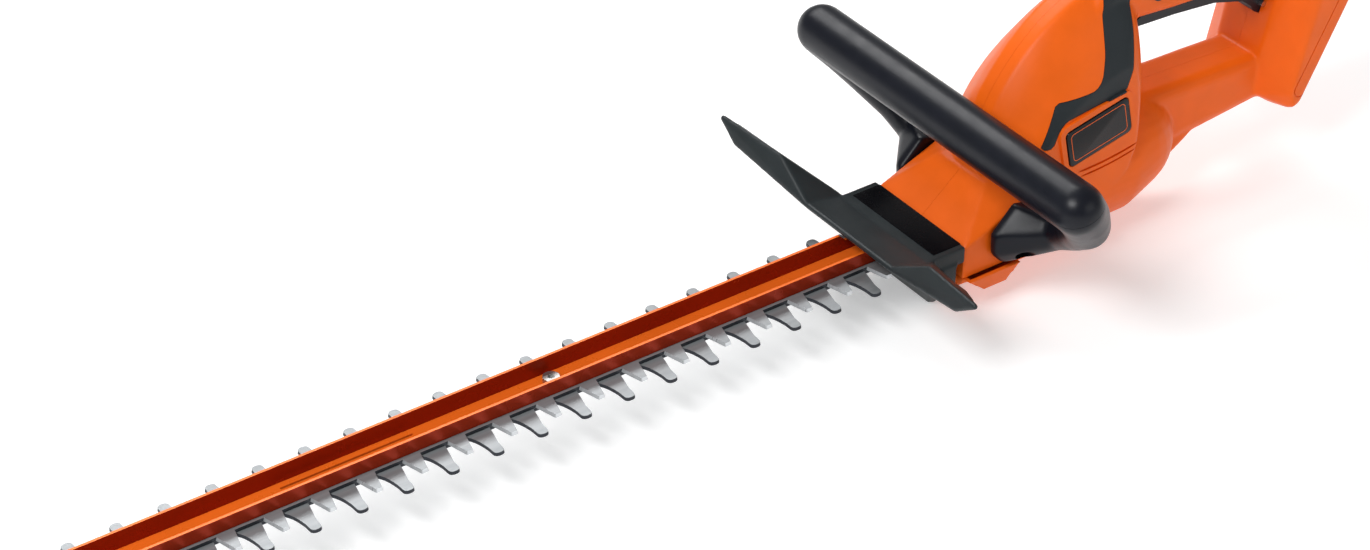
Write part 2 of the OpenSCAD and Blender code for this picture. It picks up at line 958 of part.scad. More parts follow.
module switch_body() {
    color("dimgray")
        translate([switch_place[0], 0, switch_place[1]])
            difference() {
                translate([-16, -7, 0]) cube([32, 14, 16]);
                translate([0, 0, -cut]) cylinder(h = 13, r = 2.8);
                for (x = [-10, 10])
                    translate([x - 2, -8, 12]) cube([4, 16, 5]);
            }
}

module switch_plunger() {
    color("white")
        translate([switch_place[0], 0, 127.6])
            cylinder(h = 16, r = 2.5);
}

module controller_board() {
    color("darkgreen")
        difference() {
            union() {
                translate([64, -22, 68]) cube([1.6, 44, 44]);
                for (y = [-14, 0, 14])
                    translate([65.5, y - 4, 76]) cube([8, 8, 14]);
                translate([65.5, -18, 96]) cube([5, 36, 8]);
            }
            for (y = [-19, 19])
                for (z = [71, 109])
                    translate([63, y, z]) along_x(4, 1.6);
        }
}

module terminal_block() {
    color("black")
        rail_frame()
            difference() {
                translate([-19, -19, 30]) cube([9.8, 38, 30]);
                for (y = [-12, -4, 4, 12])
                    translate([-16, y - 1.2, 20]) cube([12, 2.4, 36]);
            }
}

module terminal_blades() {
    color("gold")
        rail_frame()
            for (y = [-12, -4, 4, 12])
                translate([-15.9, y - 0.6, 40]) cube([11, 1.2, 15.9]);
}

// Guard in front of the hands: a collar on the nose, a lip over the blades, two swept wings and a lower skirt
module guard_ball(x, y, z) {
    translate([x, y, z]) sphere(r = 1.7, $fn = 16);
}

module guard_wing() {
    hull() {
        guard_ball(-91, 38, 50);
        guard_ball(-66, 42, 44.3);
        guard_ball(-74, 50, 49);
        guard_ball(-88, 66, 65);
        guard_ball(-96, guard_reach - 14, 61);
        guard_ball(-95, guard_reach, 70);
    }
}

module guard_lip() {
    hull() {
        guard_ball(-84, -11, 45);
        guard_ball(-84, 11, 45);
        guard_ball(-91, -38, 50);
        guard_ball(-91, 38, 50);
        guard_ball(-68, -40, 44.3);
        guard_ball(-68, 40, 44.3);
    }
}

module guard_skirt() {
    hull() {
        guard_ball(-66, 42, 42);
        guard_ball(-52, 38, 26);
        guard_ball(-47, 27, 16);
        guard_ball(-91, guard_reach - 8, 67);
        guard_ball(-63, 66, 39);
    }
}

module guard() {
    color([0.2, 0.2, 0.22])
        difference() {
            union() {
                translate([-72, -40, 36]) cube([30.3, 80, 10]);
                guard_lip();
                mirror_both() {
                    guard_wing();
                    guard_skirt();
                }
                // Chin under the blades, joined to the collar at both ends
                hull() {
                    mirror_both() {
                        guard_ball(-60, 36, 26);
                        guard_ball(-46.3, 36, 26);
                        guard_ball(-46.3, 20, 1.8);
                        guard_ball(-49.5, 20, 3);
                    }
                }
                for (y = [-41.3, 35.3])
                    translate([-62.3, y, 23]) cube([14, 6, 14.6]);
            }
            // Hollow of the collar, open underneath
            translate([-69, -37, 30]) cube([20, 74, 13.2]);
            // Tunnel for the guide bar and the blades
            translate([-100, -channel_width / 2 - 0.4, 20])
                cube([62, channel_width + 0.8, web_z + channel_height + 0.4 - 20]);
            translate([-70, -27, 28.2]) cube([30, 54, 9]);
            for (side = [-1, 1])
                translate([-50, side * guard_screw_place[0], guard_screw_place[1]])
                    along_x(10, 2);
        }
}

module guard_screws() {
    color("gray")
        for (side = [-1, 1])
            translate([-49.1, side * guard_screw_place[0], guard_screw_place[1]])
                rotate([0, -90, 0])
                    pan_screw(3.4, 2.2, 1.55, 14);
}

module bracket_outline() {
    rotate([90, 0, 0])
        linear_extrude(bracket_thick)
            polygon([[-24, 35], [-18, 28], [8, 33], [15, 44], [12, 58], [-10, 63], [-25, 48]]);
}

module bail_arm() {
    hull() {
        translate([bail_x, bail_reach, bail_z]) sphere(r = bail_radius, $fn = 32);
        translate([bail_x + 22, bail_reach - 16, bail_z - 27]) sphere(r = 12.5, $fn = 24);
    }
    hull() {
        translate([bail_x + 22, bail_reach - 16, bail_z - 27]) sphere(r = 12.5, $fn = 24);
        translate([bail_x + 34, 70, 53]) sphere(r = 9, $fn = 24);
    }
    hull() {
        translate([bail_x + 34, 70, 53]) sphere(r = 9, $fn = 24);
        translate([0, bracket_y + bracket_thick, 0]) bracket_outline();
    }
}

module split_space(upper) {
    translate([bail_x, 0, bail_z])
        rotate([0, bail_split_tilt, 0])
            translate([-100, -200, upper ? seam_gap : -200 - seam_gap])
                cube([200, 400, 200]);
}

module bail_bar(radius) {
    translate([bail_x, -bail_reach, bail_z])
        rotate([-90, 0, 0])
            cylinder(h = 2 * bail_reach, r = radius);
    mirror_both()
        translate([bail_x, bail_reach, bail_z])
            sphere(r = radius, $fn = 48);
}

module bail_frame() {
    color([0.12, 0.12, 0.14])
        difference() {
            union() {
                intersection() {
                    bail_bar(bail_radius);
                    split_space(false);
                }
                mirror_both()
                    difference() {
                        bail_arm();
                        split_space(true);
                    }
            }
            bail_bar(bail_radius - 3);
            for (place = bail_screw_places)
                mirror_both() {
                    along_y(place[0], place[1], 30, 90, 1.9);
                    along_y(place[0], place[1], bracket_y + bracket_thick - 1, 90, 3.8);
                }
        }
}

module bail_grip() {
    color([0.12, 0.12, 0.14])
        difference() {
            intersection() {
                bail_bar(bail_radius);
                split_space(true);
            }
            bail_bar(bail_radius - 3);
        }
}

module bail_screws() {
    color("gray")
        mirror_both()
            for (place = bail_screw_places)
                translate([place[0], bracket_y + bracket_thick - 0.9, place[1]])
                    rotate([-90, 0, 0])
                        pan_screw(3.5, 2.2, 1.55, 7.5);
}

housing_left();
housing_right();
belly_cover();
inlay_left();
inlay_right();
badge_left();
badge_right();
guard();
guard_screws();
bail_frame();
bail_grip();
bail_screws();
trigger();
trigger_pin();
trigger_spring();
lock_button();
switch_body();
switch_plunger();
terminal_block();
terminal_blades();
controller_board();
gear_case();
gear_case_posts();
motor_plate();
crank_bearings();
crankshaft();
drive_gear();
pinion_gear();
motor_can();
motor_magnets();
motor_end_cap();
armature();
motor_shaft();
cooling_fan();
lower_blade();
upper_blade();
guide_bar();
blade_screws();
blade_spacers();
blade_nuts();
plate_screws();
belly_screws();
housing_screws();
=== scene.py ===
import bpy
import bmesh
import json
import math
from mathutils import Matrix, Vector


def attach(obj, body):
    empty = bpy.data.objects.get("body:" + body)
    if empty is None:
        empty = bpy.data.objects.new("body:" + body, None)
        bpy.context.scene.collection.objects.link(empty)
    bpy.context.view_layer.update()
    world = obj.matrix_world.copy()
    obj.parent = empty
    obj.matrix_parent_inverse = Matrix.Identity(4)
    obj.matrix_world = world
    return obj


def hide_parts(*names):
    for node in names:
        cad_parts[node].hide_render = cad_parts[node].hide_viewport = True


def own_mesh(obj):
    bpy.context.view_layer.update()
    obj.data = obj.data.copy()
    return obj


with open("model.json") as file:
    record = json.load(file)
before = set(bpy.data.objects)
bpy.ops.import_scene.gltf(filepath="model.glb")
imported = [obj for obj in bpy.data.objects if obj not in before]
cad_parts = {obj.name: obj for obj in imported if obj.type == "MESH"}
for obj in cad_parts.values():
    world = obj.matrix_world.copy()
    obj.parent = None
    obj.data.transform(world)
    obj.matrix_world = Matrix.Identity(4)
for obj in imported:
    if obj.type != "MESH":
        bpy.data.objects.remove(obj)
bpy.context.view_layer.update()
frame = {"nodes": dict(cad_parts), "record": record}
CAD = frame["nodes"]
MM = 0.001


# ---------------------------------------------------------------- materials

GRAIN_DEPTH = 0.0002


def link(tree, a, b):
    tree.links.new(a, b)


def make_material(name, color, rough, metallic=0.0, spread=0.05, patch=60.0, grain=1500.0, bump=0.12,
                  rough_spread=0.08, stretch=(1.0, 1.0, 1.0), specular=0.5, wear=0.0,
                  wear_color=(0.6, 0.6, 0.6)):
    """Procedural surface: broad colour patches, worn spots, fine grain in the bump, and uneven gloss."""
    mat = bpy.data.materials.new(name)
    mat.use_nodes = True
    tree = mat.node_tree
    shader = tree.nodes["Principled BSDF"]
    shader.inputs["Metallic"].default_value = metallic
    shader.inputs["Specular IOR Level"].default_value = specular
    coord = tree.nodes.new("ShaderNodeTexCoord")
    mapping = tree.nodes.new("ShaderNodeMapping")
    mapping.inputs["Scale"].default_value = stretch
    link(tree, coord.outputs["Object"], mapping.inputs["Vector"])

    def noise(scale, detail):
        n = tree.nodes.new("ShaderNodeTexNoise")
        n.inputs["Scale"].default_value = scale
        n.inputs["Detail"].default_value = detail
        link(tree, mapping.outputs["Vector"], n.inputs["Vector"])
        return n.outputs["Fac"]

    def ramp(fac, low, high, a=0.3, b=0.7):
        r = tree.nodes.new("ShaderNodeValToRGB")
        r.color_ramp.elements[0].position = a
        r.color_ramp.elements[1].position = b
        r.color_ramp.elements[0].color = (*low, 1.0)
        r.color_ramp.elements[1].color = (*high, 1.0)
        link(tree, fac, r.inputs["Fac"])
        return r.outputs["Color"]

    low = [c * (1.0 - spread) for c in color]
    high = [min(1.0, c * (1.0 + spread)) for c in color]
    out = ramp(noise(patch, 4.0), low, high)
    if wear > 0.0:
        spots = ramp(noise(patch * 3.0, 8.0), (0.0, 0.0, 0.0), (wear, wear, wear), 0.62, 0.72)
        mix = tree.nodes.new("ShaderNodeMix")
        mix.data_type = "RGBA"
        link(tree, spots, mix.inputs["Factor"])
        link(tree, out, mix.inputs["A"])
        mix.inputs["B"].default_value = (*wear_color, 1.0)
        out = mix.outputs["Result"]
    link(tree, out, shader.inputs["Base Color"])

    gloss = tree.nodes.new("ShaderNodeMapRange")
    gloss.inputs["To Min"].default_value = max(0.02, rough - rough_spread)
    gloss.inputs["To Max"].default_value = min(1.0, rough + rough_spread)
    link(tree, noise(patch * 2.0, 6.0), gloss.inputs["Value"])
    link(tree, gloss.outputs["Result"], shader.inputs["Roughness"])

    rise = tree.nodes.new("ShaderNodeBump")
    rise.inputs["Strength"].default_value = bump
    rise.inputs["Distance"].default_value = GRAIN_DEPTH
    link(tree, noise(grain, 3.0), rise.inputs["Height"])
    link(tree, rise.outputs["Normal"], shader.inputs["Normal"])
    return mat


MATERIALS = {
    "orange_shell": make_material("OrangeShell", (0.80, 0.118, 0.004), 0.4, spread=0.035, grain=2200,
                                  bump=0.10, specular=0.2),
    "orange_cover": make_material("OrangeCover", (0.76, 0.115, 0.006), 0.4, spread=0.05, grain=2200,
                                  bump=0.14, specular=0.22),
    "charcoal": make_material("CharcoalInlay", (0.017, 0.022, 0.025), 0.5, spread=0.12, grain=2600, bump=0.3,
                              specular=0.22),
    "badge_black": make_material("BadgePlate", (0.004, 0.004, 0.005), 0.22, spread=0.1, grain=900, bump=0.03,
                                 specular=0.2),
    "guard_grey": make_material("GuardGrey", (0.017, 0.022, 0.024), 0.42, spread=0.12, grain=1800, bump=0.22,
                                specular=0.25, wear=0.05, wear_color=(0.08, 0.09, 0.09)),
    "handle_black": make_material("HandleBlack", (0.003, 0.004, 0.0085), 0.36, spread=0.12, grain=2400,
                                  bump=0.16, specular=0.26),
    "trigger_black": make_material("TriggerBlack", (0.006, 0.007, 0.011), 0.36, spread=0.1, grain=2400,
                                   bump=0.12, specular=0.3),
    "screw_steel": make_material("ScrewSteel", (0.40, 0.40, 0.39), 0.36, metallic=0.9, spread=0.12,
                                 grain=1200, bump=0.1, wear=0.25, wear_color=(0.24, 0.23, 0.21)),
    "pin_steel": make_material("PinSteel", (0.62, 0.62, 0.63), 0.22, metallic=1.0, spread=0.08, grain=900,
                               bump=0.06),
    "spring_steel": make_material("SpringSteel", (0.6, 0.6, 0.62), 0.25, metallic=1.0, spread=0.08, grain=900,
                                  bump=0.05),
    "blade_steel": make_material("BladeSteel", (0.27, 0.285, 0.295), 0.4, metallic=0.45, spread=0.14,
                                 patch=40, grain=500, bump=0.14, stretch=(0.35, 6.0, 1.0), rough_spread=0.1,
                                 wear=0.25, wear_color=(0.46, 0.47, 0.48), specular=0.3),
    "bar_orange": make_material("BarOrange", (0.85, 0.15, 0.013), 0.28, spread=0.05, patch=30, grain=700,
                                bump=0.06, metallic=0.1, specular=0.2),
    "gear_steel": make_material("GearSteel", (0.42, 0.42, 0.43), 0.33, metallic=1.0, spread=0.12, grain=900,
                                bump=0.12),
    "case_aluminium": make_material("CastAluminium", (0.55, 0.55, 0.57), 0.5, metallic=1.0, spread=0.1,
                                    grain=1500, bump=0.35),
    "plate_steel": make_material("PlateSteel", (0.55, 0.56, 0.57), 0.3, metallic=1.0, spread=0.08, grain=700,
                                 bump=0.1, stretch=(0.4, 4.0, 1.0)),
    "can_steel": make_material("CanSteel", (0.36, 0.36, 0.38), 0.35, metallic=1.0, spread=0.1, grain=900,
                               bump=0.1, stretch=(1.0, 1.0, 0.2)),
    "magnet_dark": make_material("MagnetDark", (0.03, 0.03, 0.034), 0.55, spread=0.2, grain=2600, bump=0.3),
    "copper_wound": make_material("CopperWound", (0.62, 0.26, 0.11), 0.32, metallic=1.0, spread=0.2,
                                  grain=700, bump=0.4, stretch=(6.0, 6.0, 1.0)),
    "inner_plastic": make_material("InnerPlastic", (0.02, 0.02, 0.022), 0.45, spread=0.15, grain=1800,
                                   bump=0.2),
    "plunger_white": make_material("PlungerWhite", (0.7, 0.7, 0.67), 0.4, spread=0.05, grain=1800, bump=0.1),
    "board_green": make_material("BoardGreen", (0.012, 0.09, 0.03), 0.35, spread=0.2, patch=250, grain=900,
                                 bump=0.2),
    "contact_brass": make_material("ContactBrass", (0.68, 0.5, 0.18), 0.25, metallic=1.0, spread=0.08,
                                   grain=900, bump=0.06),
}

# Further materials: ground flanks of the upper blade, painted shade on the blades' side faces, the lower
# blade's flanks and the bar's outer flanks, and a painted shadow strip for the guard
NOSE_SHADOW_SHEET = make_material("CollarPaintedShadow", (0.002, 0.002, 0.003), 0.26, spread=0.1, grain=700, bump=0.05,
                            specular=0.12)
GROUND_EDGE = make_material("GroundEdge", (0.62, 0.64, 0.66), 0.3, metallic=0.6, spread=0.08, grain=500,
                            bump=0.12, stretch=(0.5, 6.0, 1.0), wear=0.15, wear_color=(0.42, 0.43, 0.45))
# Painted shade for the guide bar's outer flanks
BAR_FLANK_SHADE = make_material("BarFlankPaintedShade", (0.25, 0.018, 0.003), 0.26, spread=0.06, patch=30, grain=700, bump=0.05,
                          metallic=0.35, specular=0.12)
# Painted shade for the blades' side faces and the lower blade's flanks
BLADE_SIDE_SHADE = make_material("BladeSidePaintedShade", (0.035, 0.038, 0.045), 0.45, metallic=0.6, spread=0.15, grain=500,
                             bump=0.2, stretch=(1.0, 1.0, 4.0), specular=0.2)

# Every CAD node gets the material of its slot
SLOT_OF = {part["node"]: part["material_slot"] for part in frame["record"]["subparts"]}
for node_name, cad_object in CAD.items():
    mesh = cad_object.data
    if not mesh.materials:
        mesh.materials.append(None)
    for place in range(len(cad_object.material_slots)):
        cad_object.material_slots[place].material = MATERIALS[SLOT_OF[node_name]]


# ---------------------------------------------------------------- mesh tools (all lengths in millimetres)

def new_object(name, mesh):
    obj = bpy.data.objects.new(name, mesh)
    bpy.context.scene.collection.objects.link(obj)
    return obj


def drop(obj):
    mesh = obj.data
    bpy.data.objects.remove(obj)
    bpy.data.meshes.remove(mesh)


def apply_all(obj):
    """Makes the object's modifiers part of its mesh."""
    graph = bpy.context.evaluated_depsgraph_get()
    graph.update()
    mesh = bpy.data.meshes.new_from_object(obj.evaluated_get(graph))
    old = obj.data
    obj.modifiers.clear()
    obj.data = mesh
    bpy.data.meshes.remove(old)
    return obj


def round_off(points, times=2):
    """Cuts the corners of a closed outline."""
    for _ in range(times):
        out = []
        for i, p in enumerate(points):
            q = points[(i + 1) % len(points)]
            out.append((p[0] * 0.75 + q[0] * 0.25, p[1] * 0.75 + q[1] * 0.25))
            out.append((p[0] * 0.25 + q[0] * 0.75, p[1] * 0.25 + q[1] * 0.75))
        points = out
    return points


def slab(points, half):
    """Points of an outline in X and Z, on both sides of the centre plane."""
    return [(x, s * half, z) for s in (-1, 1) for x, z in points]


def span(side, near, far):
    """The low and high Y of a stretch beside the centre plane, on the side -1 or 1."""
    return sorted((side * near, side * far))


def circle(across, up, radius, turns):
    """Outline of a circle about a centre."""
    angles = [2 * math.pi * k / turns for k in range(turns)]
    return [(across + radius * math.cos(a), up + radius * math.sin(a)) for a in angles]


def ball(x, y, z, radius, rings=7, turns=14):
    """Points on a sphere."""
    out = [(x, y, z + radius), (x, y, z - radius)]
    for i in range(1, rings):
        a = math.pi * i / rings
        for k in range(turns):
            b = 2 * math.pi * k / turns
            out.append((x + radius * math.sin(a) * math.cos(b), y + radius * math.sin(a) * math.sin(b),
                        z + radius * math.cos(a)))
    return out


def ring_x(x, y, z, radius, turns=40):
    """Points of a circle that stands across X."""
    return [(x, py, pz) for py, pz in circle(y, z, radius, turns)]


def hull(points):
    """A closed mesh of the points' convex hull, in metres."""
    bm = bmesh.new()
    for p in points:
        bm.verts.new(Vector(p) * MM)
    result = bmesh.ops.convex_hull(bm, input=bm.verts[:], use_existing_faces=False)
    loose = [v for v in set(result["geom_interior"] + result["geom_unused"])
             if isinstance(v, bmesh.types.BMVert) and v.is_valid]
    bmesh.ops.delete(bm, geom=loose, context="VERTS")
    bmesh.ops.recalc_face_normals(bm, faces=bm.faces[:])
    return bm


def prism(points, y_low, y_high):
    """A closed solid of an outline in X and Z between two Y values."""
    bm = bmesh.new()
    near = [bm.verts.new((x * MM, y_low * MM, z * MM)) for x, z in points]
    far = [bm.verts.new((x * MM, y_high * MM, z * MM)) for x, z in points]
    bm.faces.new(near)
    bm.faces.new(far[::-1])
    count = len(points)
    for i in range(count):
        bm.faces.new((near[i], far[i], far[(i + 1) % count], near[(i + 1) % count]))
    bmesh.ops.triangulate(bm, faces=bm.faces[:])
    bmesh.ops.recalc_face_normals(bm, faces=bm.faces[:])
    return bm


def join(name, solids):
    """One object that holds several closed solids."""
    verts, faces = [], []
    for bm in solids:
        bm.verts.index_update()
        start = len(verts)
        verts += [v.co.copy() for v in bm.verts]
        faces += [[v.index + start for v in f.verts] for f in bm.faces]
        bm.free()
    mesh = bpy.data.meshes.new(name)
    mesh.from_pydata([tuple(v) for v in verts], [], faces)
    mesh.update()
    return new_object(name, mesh)


def fuse(name, solids, voxel, smooth, factor=0.5):
    """Solids melted into one skin with softly rounded edges."""
    obj = join(name, solids)
    remesh = obj.modifiers.new("Melt", "REMESH")
    remesh.mode = "VOXEL"
    remesh.voxel_size = voxel * MM
    remesh.adaptivity = 0.0
    if smooth:
        soft = obj.modifiers.new("Soft", "SMOOTH")
        soft.factor = factor
        soft.iterations = smooth
    return apply_all(obj)


def cut(obj, cutter, operation="DIFFERENCE"):
    """A boolean on the object; the cutter is used up."""
    mod = obj.modifiers.new("Cut", "BOOLEAN")
    mod.operation = operation
    mod.object = cutter
    kinds = [item.identifier for item in mod.bl_rna.properties["solver"].enum_items]
    mod.solver = "MANIFOLD" if "MANIFOLD" in kinds else "EXACT"
    apply_all(obj)
    drop(cutter)
    return obj


def copy_of(obj, name):
    return new_object(name, obj.data.copy())


def box_solid(low, high):
    points = [(x, y, z) for x in (low[0], high[0]) for y in (low[1], high[1]) for z in (low[2], high[2])]
    return hull(points)


def rod_y(x, z, y_low, y_high, radius, turns=40):
    return prism(circle(x, z, radius, turns), y_low, y_high)


BEVEL_FROM = math.radians(35.0)


def dress(obj, body, slot, nodes=(), angle=32.0, material=None, bevel=0.0):
    """Finishes a piece: shading, material, what it stands for and what it rides on."""
    if bevel:
        mod = obj.modifiers.new("Edge", "BEVEL")
        mod.width = bevel * MM
        mod.segments = 2
        mod.limit_method = "ANGLE"
        mod.angle_limit = BEVEL_FROM
        apply_all(obj)
    mesh = obj.data
    mesh.shade_smooth()
    mesh.set_sharp_from_angle(angle=math.radians(angle))
    mesh.materials.clear()
    mesh.materials.append(material or MATERIALS[slot])
    if nodes:
        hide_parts(*nodes)
    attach(obj, body)
    return obj


# ---------------------------------------------------------------- housing

def radii(points, centre, count=72):
    """Distance from the centre to a closed outline in each direction."""
    out = []
    for k in range(count):
        a = 2 * math.pi * k / count
        d = (math.cos(a), math.sin(a))
        best = 0.0
        for i, p in enumerate(points):
            q = points[(i + 1) % len(points)]
            ex, ez = q[0] - p[0], q[1] - p[1]
            det = d[0] * ez - d[1] * ex
            if abs(det) < 1e-9:
                continue
            px, pz = p[0] - centre[0], p[1] - centre[1]
            t = (px * ez - pz * ex) / det
            u = (px * d[1] - pz * d[0]) / det
            if t > 0 and -1e-6 <= u <= 1 + 1e-6:
                best = max(best, t)
        out.append(best)
    return out


def swell(levels, centre, bulge, steps=5):
    """Points of a body whose outline changes smoothly from one half-width to the next."""
    cloud = []
    rings = [(half, radii(points, centre)) for half, points in levels]
    for (h0, r0), (h1, r1) in zip(rings[:-1], rings[1:]):
        for s in range(steps + 1):
            t = s / steps
            half = h0 + (h1 - h0) * t
            for k in range(len(r0)):
                a = 2 * math.pi * k / len(r0)
                r = r0[k] + (r1[k] - r0[k]) * t + bulge * 4 * t * (1 - t)
                for side in (-1, 1):
                    cloud.append((centre[0] + r * math.cos(a), side * half, centre[1] + r * math.sin(a)))
    return cloud


TOWER_SIDE = [(6, 40), (6, 62), (12, 78), (22, 93), (36, 106), (56, 116), (76, 120), (82, 100), (82, 40)]
TOWER_MID = [(-2, 50), (0, 72), (8, 92), (16, 102), (26, 113), (43, 126), (64, 134), (84, 140), (90, 118),
             (90, 50)]
TOWER_TOP = [(-10, 60), (-10, 74), (-1, 98), (10, 116), (26, 134), (44, 147), (66, 156), (96, 160), (98, 60)]
TOWER_CENTRE = (50, 84)
TOWER_BULGE = 1.4
tower = hull(swell([(3, round_off(TOWER_TOP)), (9, round_off(TOWER_TOP)), (26, round_off(TOWER_MID)),
                    (36.5, round_off(TOWER_SIDE))], TOWER_CENTRE, TOWER_BULGE))
nose = hull(slab(round_off([(-41.4, 14), (-41.4, 43.6), (-16, 50.6), (0, 60), (30, 62), (30, 14)], 1), 37.2)
            + slab([(-41.4, 15), (-41.4, 43.4), (-16, 50.2), (0, 59.5), (30, 61), (30, 15)], 38.3)
            + slab([(-41.5, 20), (-41.5, 43.8), (-13, 65.4), (0, 68.4), (30, 72), (30, 20)], 20)
            + slab([(-41.5, 20), (-41.5, 43.8), (-14.5, 66.3), (0, 69.4), (30, 74), (30, 20)], 8))
TUB_RADIUS = 36.5
tub = hull([p for x in range(30, 87, 8) for p in ring_x(x, 0, 41, TUB_RADIUS)]
           + ball(97, 0, 46, TUB_RADIUS - 2, rings=16, turns=32))
GRIP_CORE = [(60, 130), (60, 152), (84, 164), (150, 168), (225, 164), (238, 150), (225, 122)]
GRIP_MIDDLE = [(61, 133), (61, 149), (86, 162), (150, 166), (224, 162), (234, 149), (221, 125)]
GRIP_FLANK = [(62, 136), (62, 146), (88, 158), (150, 162), (222, 158), (228, 148), (218, 128)]
grip = hull(slab(round_off(GRIP_CORE), 11) + slab(round_off(GRIP_MIDDLE), 15.5)
            + slab(round_off(GRIP_FLANK), 18))
bar = hull(slab([(88, 36), (88, 78), (190, 74), (202, 62), (198, 44), (150, 44), (126, 36)], 12)
           + slab([(88, 40), (88, 76), (190, 72.5), (200, 62), (196, 46), (150, 46), (126, 39)], 16)
           + slab([(88, 46), (88, 72), (190, 69), (197, 62), (193, 50), (152, 50), (130, 45)], 18))
HEEL_CORE = [(84, 8), (84, 70), (126, 68), (166, 52), (150, 37.5), (130, 26), (106, 10)]
HEEL_FLANK = [(84, 14), (84, 66), (118, 64), (152, 52), (142, 40), (124, 30), (102, 16)]
heel = hull(slab(round_off(HEEL_CORE, 1), 11) + slab(round_off(HEEL_FLANK, 1), 16.5))
block = hull(
    slab([(190, 76), (186.5, 51), (202, 39), (209, 42), (267, 150), (262, 160), (250, 166), (214, 166)], 17)
    + slab([(200, 66), (197, 54), (203, 42), (209, 43), (266, 150), (261, 160), (250, 166), (222, 166)], 32)
    + slab([(203.6, 68), (198.5, 54), (203, 44), (208, 46), (264, 150), (259, 159), (248, 164), (226, 164)],
           35.6)
    + slab([(207, 70), (200, 54), (203.5, 46), (207.5, 49), (261, 150), (256, 158), (246, 161), (230, 161)],
           37))
sill = hull(slab([(0, 22), (58, 22), (63.8, 29), (56, 38), (0, 38)], 36.4))

HOUSING_VOXEL, HOUSING_SMOOTH = 1.15, 5
housing = fuse("Housing", [tower, nose, tub, grip, bar, heel, block, sill], HOUSING_VOXEL, HOUSING_SMOOTH)

# ---------------------------------------------------------------- badge frames

BADGE_X, BADGE_Z, BADGE_TILT = 51.5, 84.8, math.radians(11.6)
# Length, height and corner radius of each badge outline
FRAME_SIZE = (53, 33, 6)
SEAT_SIZE = (45.6, 25.1, 3.4)
PLATE_SIZE = (45, 24.5, 3)
LINE_OUTER = (39, 19, 2.6)
LINE_INNER = (38.2, 18.2, 2.2)


def badge_outline(length, height, corner, turns=6):
    """A rectangle with round corners, tilted as the badge is."""
    out = []
    for cx, cz, start in ((1, 1, 0), (-1, 1, 90), (-1, -1, 180), (1, -1, 270)):
        for k in range(turns + 1):
            a = math.radians(start + 90 * k / turns)
            u = cx * (length / 2 - corner) + corner * math.cos(a)
            w = cz * (height / 2 - corner) + corner * math.sin(a)
            out.append((BADGE_X + u * math.cos(BADGE_TILT) - w * math.sin(BADGE_TILT),
                        BADGE_Z + u * math.sin(BADGE_TILT) + w * math.cos(BADGE_TILT)))
    return out


def badge_hull(size, y_low, y_high, shrink):
    """A badge outline from one Y to another, where it is smaller by shrink."""
    length, height, corner = size
    points = [(x, y_low, z) for x, z in badge_outline(length, height, corner)]
    points += [(x, y_high, z) for x, z in badge_outline(length - shrink, height - shrink, corner)]
    return hull(points)


frames = join("BadgeFrames", [badge_hull(FRAME_SIZE, s * 30, s * 38, 1.0) for s in (-1, 1)])
cut(housing, frames, "UNION")
cut(housing, join("BadgeSeats", [badge_hull(SEAT_SIZE, s * 36.9, s * 44, 0.0) for s in (-1, 1)]))

# ---------------------------------------------------------------- hollows of the housing

# Drive bay and its open underside, nose mouth, motor and fan, trigger slot, switch, lock-off button
BAY = [(-39, 10), (-39, 40.5), (-27, 46.8), (-16, 48.5), (64, 50.5), (64, 10)]
MOTOR_BAY = [(11, -12), (11, 12), (20, -24), (20, 24), (76, -24), (76, 24)]
LOCK_X, LOCK_Z, LOCK_RADIUS = 106, 147, 5.8
cut(housing, join("BayCut", [hull(slab(BAY, 33.9))]))
cut(housing, join("UnderCut", [box_solid((-60, -60, -1), (64, 60, 24))]))
cut(housing, join("MouthCut", [box_solid((-60, -12.5, 28), (-30, 12.5, 43))]))
cut(housing, join("MotorCut", [hull([(x, y, z) for x, y in MOTOR_BAY for z in (44, 100)])]))
cut(housing, join("FanCut", [box_solid((17, -16, 90), (53, 16, 110.5))]))
cut(housing, join("SlotCut", [box_solid((98.5, -8.5, 96.5), (205.5, 8.5, 156))]))
cut(housing, join("SwitchCut", [box_solid((120, -12, 130), (172, 12, 158))]))
cut(housing, join("LockCut", [rod_y(LOCK_X, LOCK_Z, -30, 30, LOCK_RADIUS)]))

# Battery slot with its rail grooves and the window for the contacts, all leaning as the rails do
LEAN = math.radians(28.7)
RAIL_FOOT_X, RAIL_FOOT_Z = 209, 43
RAIL_LOW, RAIL_HIGH = 8, 148


def leaned(low, high):
    """A box in the battery rails' own directions."""
    out = []
    for x in (low[0], high[0]):
        for y in (low[1], high[1]):
            for z in (low[2], high[2]):
                out.append((RAIL_FOOT_X + x * math.cos(LEAN) + z * math.sin(LEAN), y,
                            RAIL_FOOT_Z - x * math.sin(LEAN) + z * math.cos(LEAN)))
    return hull(out)


cut(housing, join("BatterySlot", [leaned((-9, -24, RAIL_LOW), (40, 24, RAIL_HIGH))]))
cut(housing, join("RailGrooves", [leaned((-9, low, RAIL_LOW), (-5, high, RAIL_HIGH))
                                  for low, high in (span(1, 20, 29), span(-1, 20, 29))]))
cut(housing, join("ContactWindow", [leaned((-22, -19.2, 29.8), (-8, 19.2, 60.2))]))

# Screw holes on the far side, as the near side shows none
SCREWS = [(76, 22), (112, 58), (160, 60), (92, 134), (180, 154), (222, 128), (209, 70)]
SCREW_SEAT, SCREW_RADIUS = 11.9, 4
cut(housing, join("ScrewHoles", [rod_y(x, z, SCREW_SEAT, 60, SCREW_RADIUS, 28) for x, z in SCREWS]))

# ---------------------------------------------------------------- lines in the housing's skin


